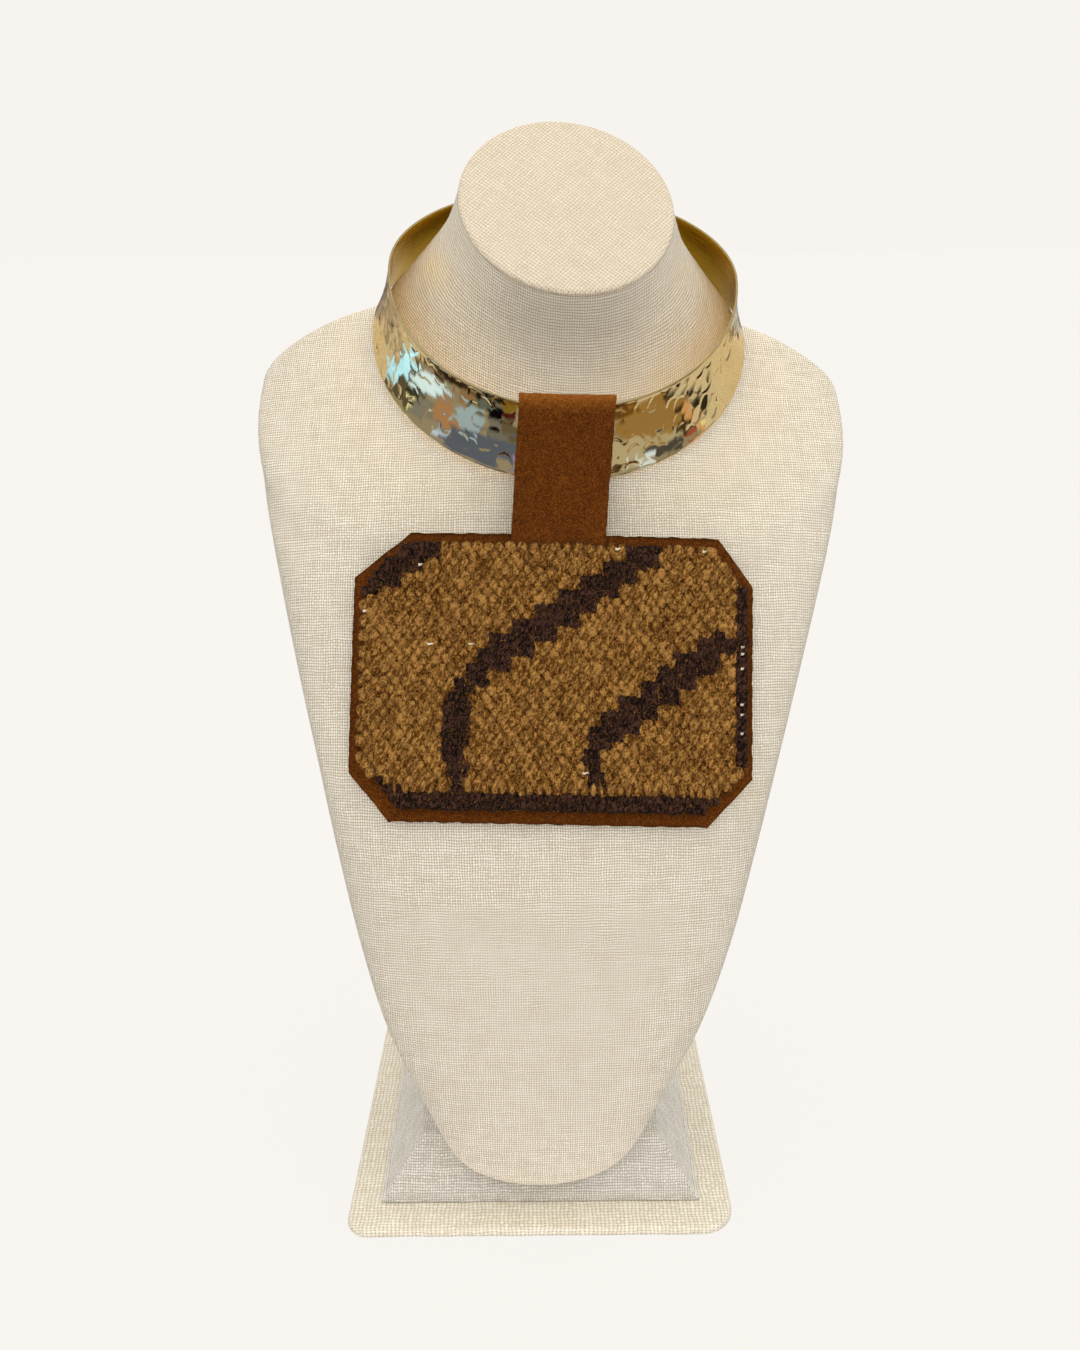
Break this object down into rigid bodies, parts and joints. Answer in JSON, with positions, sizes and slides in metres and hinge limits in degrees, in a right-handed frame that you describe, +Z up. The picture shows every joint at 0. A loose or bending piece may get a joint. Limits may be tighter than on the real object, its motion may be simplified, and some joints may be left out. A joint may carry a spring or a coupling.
{
  "type": "choker necklace on neck bust",
  "caption": "Rigid hammered brass choker collar with a suede strap and woven wool pendant panel, shown on a slanted linen neck bust with a square stand.",
  "frame": {"origin": "bottom centre of the whole object's box, on the floor under the base plate", "axes": "+Z up, -Y the front the wearer faces, +X the wearer's left"},
  "size_m": [0.2278, 0.1612, 0.4028],
  "materials": {
    "canvas": "coarse natural canvas glued over board",
    "linen": "natural linen stretched over a moulded form",
    "brass": "polished, hand hammered outside, smooth inside",
    "suede": "brown suede, matt nap",
    "wool": "handwoven wool weft over white cotton warps, stepped diagonal bands"
  },
  "bodies": {
    "root": {"base_plate": "canvas", "pedestal_block": "linen", "pedestal_riser": "linen", "neck_form": "linen", "collar": "brass", "strap": "suede", "backing": "suede", "woven_panel": "wool"}
  },
  "joints": []
}
